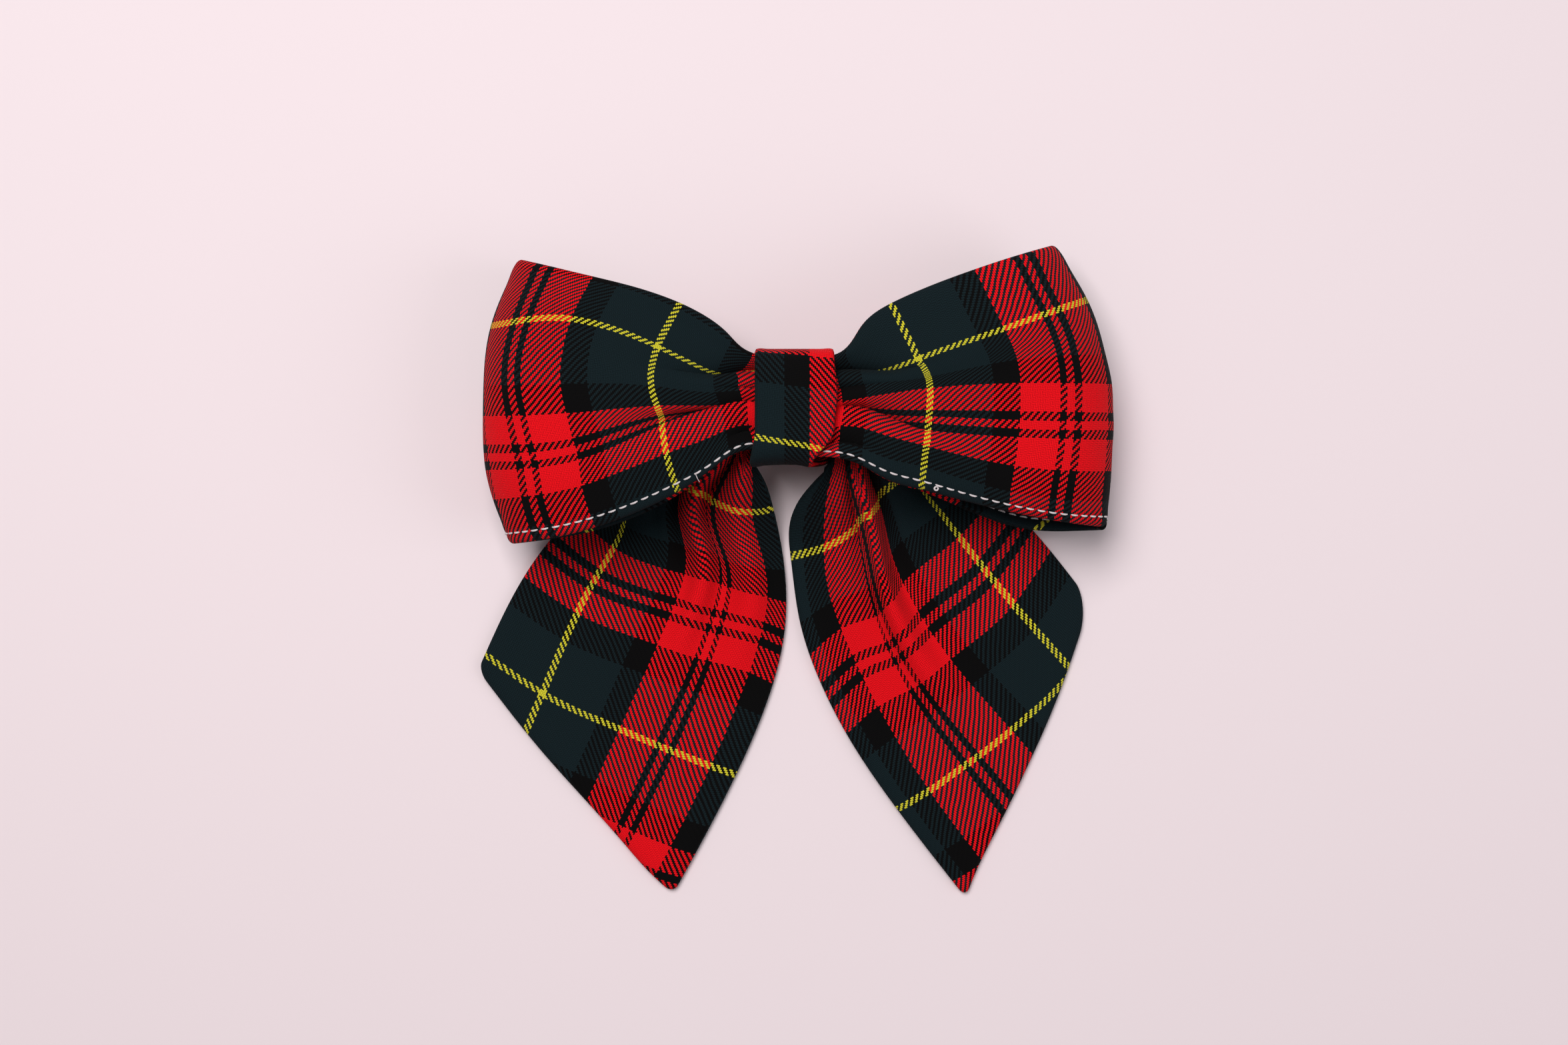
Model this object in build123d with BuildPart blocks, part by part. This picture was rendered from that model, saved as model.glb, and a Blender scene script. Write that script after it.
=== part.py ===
from build123d import *
import os

# A hair bow of tartan cloth on a sprung steel barrette, lying on its back.
#
# Millimetres. +X runs along the barrette, +Y towards the top edge of the loops and
# +Z out of the front of the bow. The origin is on the surface that the bow lies on,
# below the middle of its outline. The cloth strips are closed solids of their true
# outer size; the barrette's arm swings and its two catch legs pinch.

# --- Driving dimensions ------------------------------------------------------------

# Loops: one flattened cloth tube closed into a ring and pinched in the middle
loop_reach = 76.3           # middle to the outer fold of either loop
loop_front = 34.0           # highest point of the front panels
loop_back = 5.8             # lowest point of the back panels
left_top = 74.2             # height of the left loop's top corner
right_top = 78.3            # height of the right loop's top corner
left_bottom = 6.6           # height of the left loop's bottom corner
right_bottom = 9.6          # height of the right loop's bottom corner
loop_corner_radius = 3.0

# Tails: a second strip, folded behind the loops
tail_drop = 78.1            # origin level down to the two tips
tail_corner = 74.6          # reach of the left tail's outer corner
tail_gap = 1.2              # between the two inner edges where they come closest
tail_flat = 9.0             # the tails lie flat up to this height, then climb to the knot
tail_waist_span = 22.0

# Cloth
strip_thickness = 2.4       # two plies and the stiffening between them
interfacing_thickness = 0.5
interfacing_clearance = 0.1
seam_inset = 4.0            # interfacing stops this far inside the edge

# Knot band round the middle of both strips and the barrette's base
knot_x = -0.3
knot_y = 38.6
knot_width = 19.4
knot_height = 28.4
band_thickness = 1.3

# Threads
thread = 0.5                # gathering thread
stitch_thread = 0.4
stitch_length = 1.9
stitch_pitch = 2.76
topstitch_inset = 2.2       # seam edge to the running stitch

# Waists of the two strips, stacked on the barrette
waist_depth = 11.0          # loops' waist, front to back
tail_waist_depth = 3.0
glue_thickness = 0.6

# Barrette
clip_length = 80.0
base_width = 9.0
base_thickness = 0.7
base_rise = 9.0             # arch of the base above its two feet
foot_length = 6.0
foot_height = 4.5           # underside of the feet above the table
ear_thickness = 0.7
arm_width = 7.0
sheet = 0.6                 # arm's sheet steel
arm_depth = 2.2
arm_lift = 1.9              # step up to the tongue that the catch holds
pin_radius = 0.6
pin_height = 2.6
pin_inset = 2.0             # end of the base to the pin's axis
bar_width = 5.0
bar_thickness = 0.4
bar_rise = 5.0
sewing_hole_radius = 0.8
leg_thickness = 0.5
leg_width = 3.0
leg_spread = 3.9            # across the outsides of the two catch legs
barb = 0.45                 # how far each barb stands out of its leg
plate_thickness = 0.5
rivet_radius = 0.8
rivet_head_radius = 1.3
rivet_head = 0.45

# Clearances
running = 0.05              # pin in the arm's holes
side_gap = 0.3              # arm beside the ears
contact_gap = 0.05          # cloth and threads that lie against each other

# --- Places worked out from them ---------------------------------------------------

clip_half = clip_length / 2
base_top = foot_height + base_thickness + base_rise
waist_span = knot_height - 2 * (band_thickness + thread + contact_gap)
waist_half = knot_width / 2 + 1.5
tail_waist_low = base_top + glue_thickness + thread
tail_waist_high = tail_waist_low + tail_waist_depth
waist_low = tail_waist_high + 2 * thread + contact_gap
waist_high = waist_low + waist_depth
waist_mid = (waist_low + waist_high) / 2
front_mid = waist_high - 3.0
back_mid = waist_low + 2.9
corner_radius = 3.4         # rounded corners of the waist inside the band
waist_top = knot_y + waist_span / 2 - 1.3
waist_bottom = knot_y - waist_span / 2 + 1.3

tail_root_x = knot_width / 2 + 3.4
tail_root_top = knot_y + tail_waist_span / 2
tail_root_low = knot_y - tail_waist_span / 2 + 1.0

pin_x = -clip_half + pin_inset
catch_x = clip_half - foot_length / 2
arm_step = clip_half - foot_length - 3
parts = {}


def keep(name, shape):
    """Labels a finished piece and remembers it for export."""
    shape.label = name
    parts[name] = shape


# --- Cloth outlines ----------------------------------------------------------------

loop_outlines = {
    -1: dict(top=(loop_reach - 10.4, left_top), top_mid=(30.0, 65.6), bulge_y=41.0,
             bottom=(loop_reach - 7.4, left_bottom), bottom_mid=(38.9, 14.7)),
    1: dict(top=(loop_reach - 14.2, right_top), top_mid=(27.0, 66.8), bulge_y=37.0,
            bottom=(loop_reach - 1.7, right_bottom), bottom_mid=(38.7, 15.4)),
}


def bottom_edge(side, raised):
    """Bottom edge of one loop in plan, raised by some distance towards the top edge."""
    o = loop_outlines[side]
    return Spline(
        (side * waist_half, waist_bottom + raised),
        (side * o["bottom_mid"][0], o["bottom_mid"][1] + raised),
        (side * (o["bottom"][0] - raised / 2), o["bottom"][1] + raised),
    )


def loop_edges(side, inset):
    """Closed plan outline of one loop, its two seam edges drawn in by inset."""
    o = loop_outlines[side]
    top = (side * (o["top"][0] - inset / 2), o["top"][1] - inset)
    bottom = (side * (o["bottom"][0] - inset / 2), o["bottom"][1] + inset)
    high = waist_top - inset
    low = waist_bottom + inset
    Line((0, low), (0, high))
    Line((0, high), (side * waist_half, high))
    Spline((side * waist_half, high), (side * o["top_mid"][0], o["top_mid"][1] - inset), top)
    ThreePointArc(top, (side * loop_reach, o["bulge_y"]), bottom)
    bottom_edge(side, inset)
    Line((side * waist_half, low), (0, low))


def loops_plan(inset):
    """Both loops seen from the front."""
    with BuildSketch() as plan:
        for side in (-1, 1):
            with BuildLine():
                loop_edges(side, inset)
            make_face()
        corners = plan.vertices().filter_by(lambda v: abs(v.X) > loop_reach - 20)
        fillet(corners, radius=loop_corner_radius)
    return plan.sketch


def loop_path(side, out):
    """Side view of one loop's cloth, out from its middle: front panel, outer fold, back panel."""
    reach = loop_reach - strip_thickness / 2
    high = loop_front - strip_thickness / 2
    low = loop_back + strip_thickness / 2
    ends = dict(tangents=((side, 0), (-side, 0)))
    middle = Spline(
        (0, front_mid),
        (side * 0.32 * reach, front_mid + 0.55 * (high - front_mid)),
        (side * 0.56 * reach, high),
        (side * 0.82 * reach, high - 3.6),
        (side * reach, low + 0.42 * (high - low)),
        (side * 0.84 * reach, low),
        (side * 0.70 * reach, low + 0.4),
        (side * 0.53 * reach, low + 0.23 * (back_mid - low)),
        (side * 0.30 * reach, low + 0.67 * (back_mid - low)),
        (0, back_mid),
        mode=Mode.PRIVATE, **ends,
    )
    stations = [n / 16 for n in range(17)]
    turned = [(middle % u).rotate(Axis.Z, 90) * side * out for u in stations]
    return Spline(*[(middle @ u) + step for u, step in zip(stations, turned)], **ends)


def loops_layer(thickness, inset):
    """A layer of the ring of cloth, centred in its thickness."""
    with BuildPart() as layer:
        with BuildSketch(Plane.XZ):
            for out, mode in ((thickness / 2, Mode.ADD), (-thickness / 2, Mode.SUBTRACT)):
                with BuildLine():
                    loop_path(-1, out)
                    loop_path(1, out)
                make_face(mode=mode)
        extrude(amount=-2 * loop_reach)
        with BuildSketch(Plane.XY):
            add(loops_plan(inset))
        extrude(amount=2 * loop_front, mode=Mode.INTERSECT)
    return layer.part


def left_tail_edges(inset):
    """Closed plan outline of the left tail, from the knot down its outer edge and back."""
    root_in = knot_x - knot_width / 2 - side_gap - inset / 4
    root_out = inset / 4 - tail_root_x
    shoulder = (14.8 - tail_corner + inset, 6.5 - inset / 3)
    corner = (1.3 * inset - tail_corner, -22.6)
    tip = (-30.6, 2 * inset - tail_drop)
    low = tail_root_low - 4
    Line((root_in, tail_root_top), (root_out, tail_root_top))
    Line((root_out, tail_root_top), (root_out, tail_root_low))
    Spline((root_out, tail_root_low), (-30.0, 15.6 - inset), shoulder)
    Spline(shoulder, (6.6 - tail_corner + inset, -9.5), corner)
    Spline(corner, (-51.0, inset - 54.5), tip)
    Spline(tip, (-14.4 - inset, -48.2), (-1.8 - tail_gap - inset, -15.0),
           (-1.8 - tail_gap - inset, 3.0), (root_in, low))
    Line((root_in, low), (root_in, tail_root_top))


def right_tail_edges(inset):
    """Closed plan outline of the right tail, which points further out than the left one."""
    root_in = knot_x + knot_width / 2 + side_gap + inset / 4
    root_out = tail_root_x - inset / 4
    shoulder = (54.0 - inset, 9.4 - inset / 3)
    corner = (69.8 - 1.3 * inset, -11.5)
    tip = (40.8, 2 * inset - tail_drop)
    low = tail_root_low - 4
    Line((root_in, tail_root_top), (root_out, tail_root_top))
    Line((root_out, tail_root_top), (root_out, tail_root_low))
    Spline((root_out, tail_root_low), (30.0, 16.0 - inset), shoulder)
    Spline(shoulder, (62.5 - inset, 2.4), corner)
    Spline(corner, (56.2 - inset, -47.0), tip)
    Spline(tip, (23.9 + inset, -57.9), (1.6 + inset, -20.0), (inset - 1.8, 3.0), (root_in, low))
    Line((root_in, low), (root_in, tail_root_top))


def tail_plan(edges, inset):
    """One tail seen from the front, drawn in from the edge by inset."""
    with BuildSketch() as plan:
        with BuildLine():
            edges(inset)
        make_face()
    return plan.sketch


def tails_layer(thickness, inset):
    """A layer of the tails: flat on the table, then up a slope to the waist."""
    middle_low = strip_thickness / 2
    middle_high = (tail_waist_low + tail_waist_high) / 2
    top_y = knot_y + tail_waist_span / 2
    with BuildPart() as layer:
        with BuildSketch(Plane.YZ):
            with BuildLine():
                FilletPolyline(
                    (-tail_drop - 5, middle_low), (tail_flat, middle_low),
                    (knot_y - tail_waist_span / 2 - 1, middle_high), (top_y + 5, middle_high),
                    radius=8,
                )
                offset(amount=thickness / 2, side=Side.BOTH, mode=Mode.REPLACE)
            make_face()
        extrude(amount=2 * tail_corner, both=True)
        with BuildSketch(Plane.XY):
            add(tail_plan(left_tail_edges, inset))
            add(tail_plan(right_tail_edges, inset))
        extrude(amount=2 * waist_high, mode=Mode.INTERSECT)
    return layer.part


# --- Cloth pieces ------------------------------------------------------------------

pocket = interfacing_thickness + 2 * interfacing_clearance


def make_loops():
    with BuildPart() as bow_strip:
        add(loops_layer(strip_thickness, 0))
        with BuildSketch(Plane.YZ.offset(-waist_half)):
            with Locations((knot_y, waist_mid)):
                RectangleRounded(waist_span, waist_depth, corner_radius)
        extrude(amount=2 * waist_half)
        add(loops_layer(pocket, seam_inset - interfacing_clearance), mode=Mode.SUBTRACT)
    keep("bow_strip", bow_strip.part)
    keep("bow_interfacing", loops_layer(interfacing_thickness, seam_inset))


def make_tails():
    with BuildPart() as tail_strip:
        add(tails_layer(strip_thickness, 0))
        with BuildSketch(Plane.YZ.offset(-tail_root_x)):
            with Locations((knot_y, (tail_waist_low + tail_waist_high) / 2)):
                RectangleRounded(tail_waist_span, tail_waist_depth, tail_waist_depth / 2 - 0.1)
        extrude(amount=2 * tail_root_x)
        add(tails_layer(pocket, seam_inset - interfacing_clearance), mode=Mode.SUBTRACT)
    keep("tail_strip", tail_strip.part)
    keep("tail_interfacing", tails_layer(interfacing_thickness, seam_inset))


def band_outline():
    """Outline of the knot band in the YZ plane: wide in front, drawn in behind the base."""
    half = knot_height / 2
    front = waist_high + thread + contact_gap + band_thickness
    shoulder = base_top - 0.4
    back_half = base_width / 2 + band_thickness + 1.2
    Polyline(
        (knot_y - half, front), (knot_y + half, front), (knot_y + half, shoulder),
        (knot_y + back_half, band_back()), (knot_y - back_half, band_back()),
        (knot_y - half, shoulder), close=True,
    )


def arch_drop(x):
    """How far the base's arch has fallen at a distance x from the middle."""
    return base_rise * (x / (clip_half - foot_length)) ** 2


def band_back():
    """Back face of the band, below the base's underside at the band's edge."""
    return base_top - base_thickness - arch_drop(knot_width / 2) - contact_gap - band_thickness


def make_band():
    with BuildPart() as knot_band:
        with BuildSketch(Plane.YZ.offset(knot_x - knot_width / 2)) as ring:
            with BuildLine():
                band_outline()
            make_face()
            fillet(ring.vertices().group_by(Axis.Y)[-1], radius=corner_radius + band_thickness)
            fillet(ring.vertices().group_by(Axis.Y)[0], radius=band_thickness + 0.6)
            offset(amount=-band_thickness, kind=Kind.INTERSECTION, mode=Mode.SUBTRACT)
        extrude(amount=knot_width)
    keep("knot_band", knot_band.part)


# --- Threads -----------------------------------------------------------------------

def wound_thread(name, span, depth, middle, radius):
    """Four turns of thread side by side round a waist."""
    with BuildPart() as turns:
        for turn in range(4):
            with BuildSketch(Plane.YZ.offset((turn - 2) * (thread + contact_gap))):
                with Locations((knot_y, middle)):
                    RectangleRounded(span + 2 * thread, depth + 2 * thread, radius + thread)
                    RectangleRounded(span, depth, radius, mode=Mode.SUBTRACT)
            extrude(amount=thread)
    keep(name, turns.part)


def stitch_group(name, planes, length):
    """Separate stitches, each a short bar of thread lying on its plane."""
    with BuildPart() as stitches:
        with Locations(*[Location(plane) for plane in planes]):
            Box(length, stitch_thread, stitch_thread)
    keep(name, stitches.part)


def surface_plane(cloth, point, along, from_front):
    """Plane just clear of the cloth's front or back face, with its x axis along a stitch."""
    start = Vector(point.X, point.Y, 3 * loop_front if from_front else -loop_front)
    ray = Axis(start, (0, 0, -1 if from_front else 1))
    hit, normal = cloth.find_intersection_points(ray)[0]
    outward = normal if (normal.Z > 0) == from_front else -normal
    side = outward.cross(along).normalized()
    lift = stitch_thread / 2 + 2 * contact_gap
    return Plane(hit + outward * lift, x_dir=side.cross(outward), z_dir=outward)


def make_topstitch():
    """The running stitch that closes the tube, along its seam edge on both panels."""
    cloth = parts["bow_strip"]
    planes = []
    for side in (-1, 1):
        with BuildLine() as seam:
            bottom_edge(side, topstitch_inset)
        line = seam.edges()[0]
        count = int(line.length / stitch_pitch)
        for n in range(1, count):
            place = line @ (n / count)
            along = line % (n / count)
            planes.append(surface_plane(cloth, place, along, True))
            planes.append(surface_plane(cloth, place, along, False))
    stitch_group("bow_topstitch", planes, stitch_length)


def make_threads():
    wound_thread("bow_gather_thread", waist_span, waist_depth, waist_mid, corner_radius)
    wound_thread("tail_gather_thread", tail_waist_span, tail_waist_depth,
                 (tail_waist_low + tail_waist_high) / 2, tail_waist_depth / 2 - 0.1)
    ring_z = waist_low - stitch_thread / 2 - contact_gap
    band_z = band_back() - stitch_thread / 2 - contact_gap
    ring_seam = [Plane((5.0, knot_y + dy, ring_z)) for dy in (-8, -4, 0, 4, 8)]
    band_seam = [Plane((knot_x + dx, knot_y, band_z), x_dir=(0, 1, 0)) for dx in (-7, -3.5, 0, 3.5, 7)]
    stitch_group("ring_seam_stitches", ring_seam, 2.4)
    stitch_group("knot_stitches", band_seam, 2.4)


# --- Barrette ----------------------------------------------------------------------

clip_plane = Plane.XZ.offset(-knot_y)


def arched_profile(thickness, low, rise, start, end, foot):
    """Side view of a spring strip: a flat foot at each end and an arch between them."""
    with BuildSketch(clip_plane) as profile:
        with BuildLine():
            for z in (low, low + thickness):
                Line((start, z), (start + foot, z))
                ThreePointArc((start + foot, z), ((start + end) / 2, z + rise), (end - foot, z))
                Line((end - foot, z), (end, z))
            for x in (start, end):
                Line((x, low), (x, low + thickness))
        make_face()
    return profile.sketch


def make_base():
    """Arched base with two ears for the hinge pin, two sewing holes and a rivet hole."""
    ear_face = knot_y + base_width / 2
    with BuildPart() as barrette_base:
        side_view = arched_profile(base_thickness, foot_height, base_rise, -clip_half, clip_half,
                                   foot_length)
        extrude(side_view, amount=base_width / 2, both=True)
        for face in (ear_face, knot_y - base_width / 2 + ear_thickness):
            with BuildSketch(Plane.XZ.offset(-face)):
                with Locations((pin_x, pin_height)):
                    Circle(2 * pin_radius + 0.5)
                with Locations((pin_x, (pin_height + foot_height + base_thickness / 2) / 2)):
                    Rectangle(2 * (2 * pin_radius + 0.5), foot_height + base_thickness / 2 - pin_height)
                with Locations((pin_x, pin_height)):
                    Circle(pin_radius, mode=Mode.SUBTRACT)
            extrude(amount=ear_thickness)
        with BuildSketch(Plane.XY):
            with Locations((-clip_half + foot_length + 4, knot_y), (clip_half - foot_length - 4, knot_y)):
                Circle(sewing_hole_radius)
            with Locations((catch_x, knot_y)):
                Circle(rivet_radius)
        extrude(amount=base_top + 1, mode=Mode.SUBTRACT)
    keep("barrette_base", barrette_base.part)


def make_pin():
    with BuildPart() as hinge_pin:
        with BuildSketch(clip_plane):
            with Locations((pin_x, pin_height)):
                Circle(pin_radius)
        extrude(amount=base_width / 2 + 0.5, both=True)
        for face in (base_width / 2 + 0.5, -base_width / 2):
            with BuildSketch(Plane.XZ.offset(-knot_y - face)):
                with Locations((pin_x, pin_height)):
                    Circle(pin_radius + 0.35)
            extrude(amount=0.5)
    keep("hinge_pin", hinge_pin.part)


def make_arm():
    """Channel-section arm with knuckles on the pin and a slotted tongue for the catch."""
    step = arm_step
    knuckle = 2 * pin_radius + 0.4
    inner_width = arm_width - 2 * sheet
    tongue_end = clip_half
    with BuildPart() as clasp_arm:
        with BuildSketch(clip_plane):
            with BuildLine():
                Polyline(
                    (pin_x, 0), (step, 0), (step + arm_lift, arm_lift), (tongue_end, arm_lift),
                    (tongue_end, arm_lift + sheet), (step, arm_lift + sheet), (step - 2, arm_depth),
                    (pin_x + 4, arm_depth), (pin_x, pin_height + knuckle), close=True,
                )
            make_face()
            with Locations((pin_x, pin_height)):
                Circle(knuckle)
        extrude(amount=arm_width / 2, both=True)
        with BuildSketch(clip_plane):
            with BuildLine():
                Polyline(
                    (pin_x + 1, sheet), (step - 0.4, sheet), (step + 0.6, 3 * arm_depth),
                    (pin_x - 6, 3 * arm_depth), (pin_x - 6, sheet), close=True,
                )
            make_face()
        extrude(amount=inner_width / 2, both=True, mode=Mode.SUBTRACT)
        with BuildSketch(clip_plane):
            with Locations((pin_x, pin_height)):
                Circle(pin_radius + running)
        extrude(amount=arm_width, both=True, mode=Mode.SUBTRACT)
        with BuildSketch(Plane.XY):
            with Locations((catch_x, knot_y)):
                Rectangle(leg_width + 1.2, leg_spread + 2 * barb + 4 * running)
        extrude(amount=foot_height, mode=Mode.SUBTRACT)
    keep("clasp_arm", clasp_arm.part)


def make_bar():
    """Thin sprung bar: an eye round the pin, an arch, and a tip free in the arm's channel."""
    start = pin_x + pin_radius + running
    tip = arm_step - 1.5
    low = pin_height - bar_thickness / 2
    with BuildPart() as tension_bar:
        side_view = arched_profile(bar_thickness, low, bar_rise, start, tip, 2.0)
        extrude(side_view, amount=bar_width / 2, both=True)
        with BuildSketch(clip_plane):
            with Locations((pin_x, pin_height)):
                Circle(pin_radius + running + bar_thickness)
        extrude(amount=bar_width / 2, both=True)
        with BuildSketch(clip_plane):
            with Locations((pin_x, pin_height)):
                Circle(pin_radius + running)
        extrude(amount=bar_width / 2, both=True, mode=Mode.SUBTRACT)
    keep("tension_bar", tension_bar.part)


def make_catch():
    """Plate riveted under the base's foot, with two legs that pinch together."""
    plate_low = foot_height - plate_thickness
    with BuildPart() as catch_plate:
        with BuildSketch(Plane.XY.offset(plate_low)):
            with Locations((catch_x, knot_y)):
                Rectangle(foot_length - 1, base_width - 1)
                Circle(rivet_radius, mode=Mode.SUBTRACT)
        extrude(amount=plate_thickness)
    keep("catch_plate", catch_plate.part)

    with BuildPart() as catch_rivet:
        for low, radius, height in (
            (plate_low - rivet_head, rivet_head_radius, rivet_head),
            (plate_low, rivet_radius, plate_thickness + base_thickness),
            (foot_height + base_thickness, rivet_head_radius, rivet_head),
        ):
            with BuildSketch(Plane.XY.offset(low)):
                with Locations((catch_x, knot_y)):
                    Circle(radius)
            extrude(amount=height)
    keep("catch_rivet", catch_rivet.part)

    for name, side in (("catch_leg_upper", 1), ("catch_leg_lower", -1)):
        outer = side * leg_spread / 2
        inner = outer - side * leg_thickness
        with BuildPart() as leg:
            with BuildSketch(Plane.YZ.offset(catch_x - leg_width / 2)):
                with BuildLine():
                    Polyline(
                        (knot_y + inner, leg_top()), (knot_y + outer, leg_top()),
                        (knot_y + outer, arm_lift - 0.3), (knot_y + outer + side * barb, arm_lift - 0.6),
                        (knot_y + outer, 0.3), (knot_y + inner, 0.3), close=True,
                    )
                make_face()
            extrude(amount=leg_width)
        keep(name, leg.part)


def leg_top():
    """Top of the catch legs, just under the plate."""
    return foot_height - plate_thickness - contact_gap


def make_glue():
    """Glue pad between the top of the base and the tails' waist."""
    with BuildPart() as glue_pad:
        with BuildSketch(Plane.XY.offset(base_top + contact_gap)):
            with Locations((0, knot_y)):
                RectangleRounded(knot_width - 4, base_width - 1, 2)
        extrude(amount=glue_thickness - 2 * contact_gap)
    keep("glue_pad", glue_pad.part)


make_loops()
make_tails()
make_band()
make_threads()
make_topstitch()
make_base()
make_pin()
make_arm()
make_bar()
make_catch()
make_glue()

os.makedirs("parts", exist_ok=True)
for name, shape in parts.items():
    export_step(shape, f"parts/{name}.step")
print(f"wrote {len(parts)} sub-parts")
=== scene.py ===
# %% [markdown]
# # A tartan hair bow on a barrette
# The bow is two strips of tartan, each sewn double, pinched in the middle and held by a band: one strip is closed
# into a ring and makes the two loops, and the other hangs down as two pointed tails. The steel barrette behind them
# and most of the hidden threads come from the frame as they are. The cloth is worked out here as surfaces whose two
# parameters are places on the flat cloth, so that the tartan follows every fold.

import bpy
import numpy as np
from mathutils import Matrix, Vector


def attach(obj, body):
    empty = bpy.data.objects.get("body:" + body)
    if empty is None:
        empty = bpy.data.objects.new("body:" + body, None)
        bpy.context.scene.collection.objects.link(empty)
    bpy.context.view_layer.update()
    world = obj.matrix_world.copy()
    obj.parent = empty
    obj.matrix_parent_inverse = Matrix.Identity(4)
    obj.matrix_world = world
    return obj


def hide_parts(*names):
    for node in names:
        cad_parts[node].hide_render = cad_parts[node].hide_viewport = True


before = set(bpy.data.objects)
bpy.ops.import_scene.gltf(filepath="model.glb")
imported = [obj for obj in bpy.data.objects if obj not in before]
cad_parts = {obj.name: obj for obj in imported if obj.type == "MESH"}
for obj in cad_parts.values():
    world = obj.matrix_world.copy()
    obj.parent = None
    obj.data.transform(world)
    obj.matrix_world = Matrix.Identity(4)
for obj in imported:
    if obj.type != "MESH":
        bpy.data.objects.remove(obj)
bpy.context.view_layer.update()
MM = 0.001
bpy.context.scene.view_settings.view_transform = "Standard"

# %% [markdown]
# ## Camera, floor and light
# The bow lies on its back and is seen from straight above, so the camera looks down -Z with +Y at the top of the
# picture. A 50 mm lens half a metre up keeps the perspective gentle. One large soft lamp overhead and a pale world
# give even light with faint shadows, which suits dark cloth.

# %% Camera
CAMERA_PLACE = (-3.2 * MM, 11.3 * MM, 539 * MM)
camera_data = bpy.data.cameras.new("camera")
camera_data.lens = 50
camera_data.sensor_width = 36
camera = bpy.data.objects.new("camera", camera_data)
camera.location = CAMERA_PLACE
bpy.context.collection.objects.link(camera)
bpy.context.scene.camera = camera


# %% Floor and lights
def soft_lamp(name, place, size, watts, tint):
    """A square area lamp at place, aimed at the middle of the bow."""
    data = bpy.data.lights.new(name, "AREA")
    data.size = size
    data.energy = watts
    data.color = tint
    lamp = bpy.data.objects.new(name, data)
    lamp.location = place
    lamp.rotation_euler = (Vector((0, 0.01, 0)) - Vector(place)).to_track_quat("-Z", "Y").to_euler()
    bpy.context.collection.objects.link(lamp)


soft_lamp("lamp_above", (-0.20, 0.36, 0.9), 0.55, 9.0, (1.0, 0.98, 0.96))
soft_lamp("lamp_side", (0.75, -0.15, 0.6), 0.6, 1.8, (0.96, 0.98, 1.0))

world = bpy.data.worlds.new("studio")
world.use_nodes = True
world.node_tree.nodes["Background"].inputs["Color"].default_value = (1.0, 0.99, 0.98, 1)
world.node_tree.nodes["Background"].inputs["Strength"].default_value = 0.22
bpy.context.scene.world = world

FLOOR_HALF = 1.6
floor_mesh = bpy.data.meshes.new("floor")
floor_corners = [(-FLOOR_HALF, -FLOOR_HALF, 0), (FLOOR_HALF, -FLOOR_HALF, 0),
                 (FLOOR_HALF, FLOOR_HALF, 0), (-FLOOR_HALF, FLOOR_HALF, 0)]
floor_mesh.from_pydata(floor_corners, [], [(0, 1, 2, 3)])
floor = bpy.data.objects.new("floor", floor_mesh)
bpy.context.collection.objects.link(floor)
floor_material = bpy.data.materials.new("pale_floor")
floor_material.use_nodes = True
floor_shader = floor_material.node_tree.nodes["Principled BSDF"]
floor_shader.inputs["Base Color"].default_value = (0.80, 0.69, 0.73, 1)
floor_shader.inputs["Roughness"].default_value = 0.9
floor_mesh.materials.append(floor_material)

# %% [markdown]
# ## Tools for surfaces
# Every cloth piece is a grid of points. A few points are listed where lines of the tartan cross, and a
# natural cubic spline in both directions carries them to the whole grid. Because the spline is linear in its
# points, it is a matrix, and a surface is a product of two matrices with the small net between them.


# %% Splines and grids
def spline_matrix(knots, x):
    """Weights that carry values at knots to values at x by a natural cubic spline: in each span the value is the
    straight line between its two knots plus cubic terms in the second derivatives, which a linear system gives."""
    knots, x = np.asarray(knots, float), np.asarray(x, float)
    n = len(knots)
    step = np.diff(knots)
    left, right = np.eye(n), np.zeros((n, n))
    inner = np.arange(1, n - 1)
    left[inner, inner - 1] = step[:-1]
    left[inner, inner] = 2 * (step[:-1] + step[1:])
    left[inner, inner + 1] = step[1:]
    right[inner, inner - 1] = 6 / step[:-1]
    right[inner, inner] = -6 / step[:-1] - 6 / step[1:]
    right[inner, inner + 1] = 6 / step[1:]
    bend = np.linalg.solve(left, right)
    k = np.clip(np.searchsorted(knots, x) - 1, 0, n - 2)
    b = (x - knots[k]) / step[k]
    a = 1 - b
    unit = np.eye(n)
    cubic = (a ** 3 - a)[:, None] * bend[k] + (b ** 3 - b)[:, None] * bend[k + 1]
    return a[:, None] * unit[k] + b[:, None] * unit[k + 1] + cubic * (step[k] ** 2)[:, None] / 6


def spline(knots, values, x):
    """Values of one curve at x, any shape of x."""
    x = np.asarray(x, float)
    return (spline_matrix(knots, x.ravel()) @ np.asarray(values, float)).reshape(x.shape)


def net_surface(rows, cols, net, r, c):
    """Points of a net at scattered places: sum over i, j of row weight i times col weight j times net[i, j]."""
    row_weights = spline_matrix(rows, r.ravel())
    col_weights = spline_matrix(cols, c.ravel())
    points = np.einsum("pi,ijk,pj->pk", row_weights, np.asarray(net, float), col_weights)
    return points.reshape(r.shape + (-1,))


NET_LEVEL = 12.2


def seen_from_above(points):
    """Nets are drawn as the camera sees them on the level NET_LEVEL. A point at another height moves along its line
    of sight: its distance from the camera's foot is multiplied by its depth over the depth of that level."""
    foot = np.array(CAMERA_PLACE[:2]) / MM
    camera_height = CAMERA_PLACE[2] / MM
    depth = (camera_height - points[..., 2:]) / (camera_height - NET_LEVEL)
    return np.concatenate([foot + (points[..., :2] - foot) * depth, points[..., 2:]], axis=-1)


def smooth(x):
    """0 below 0, 1 above 1, and 3x^2 - 2x^3 between."""
    x = np.clip(x, 0, 1)
    return x * x * (3 - 2 * x)


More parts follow.
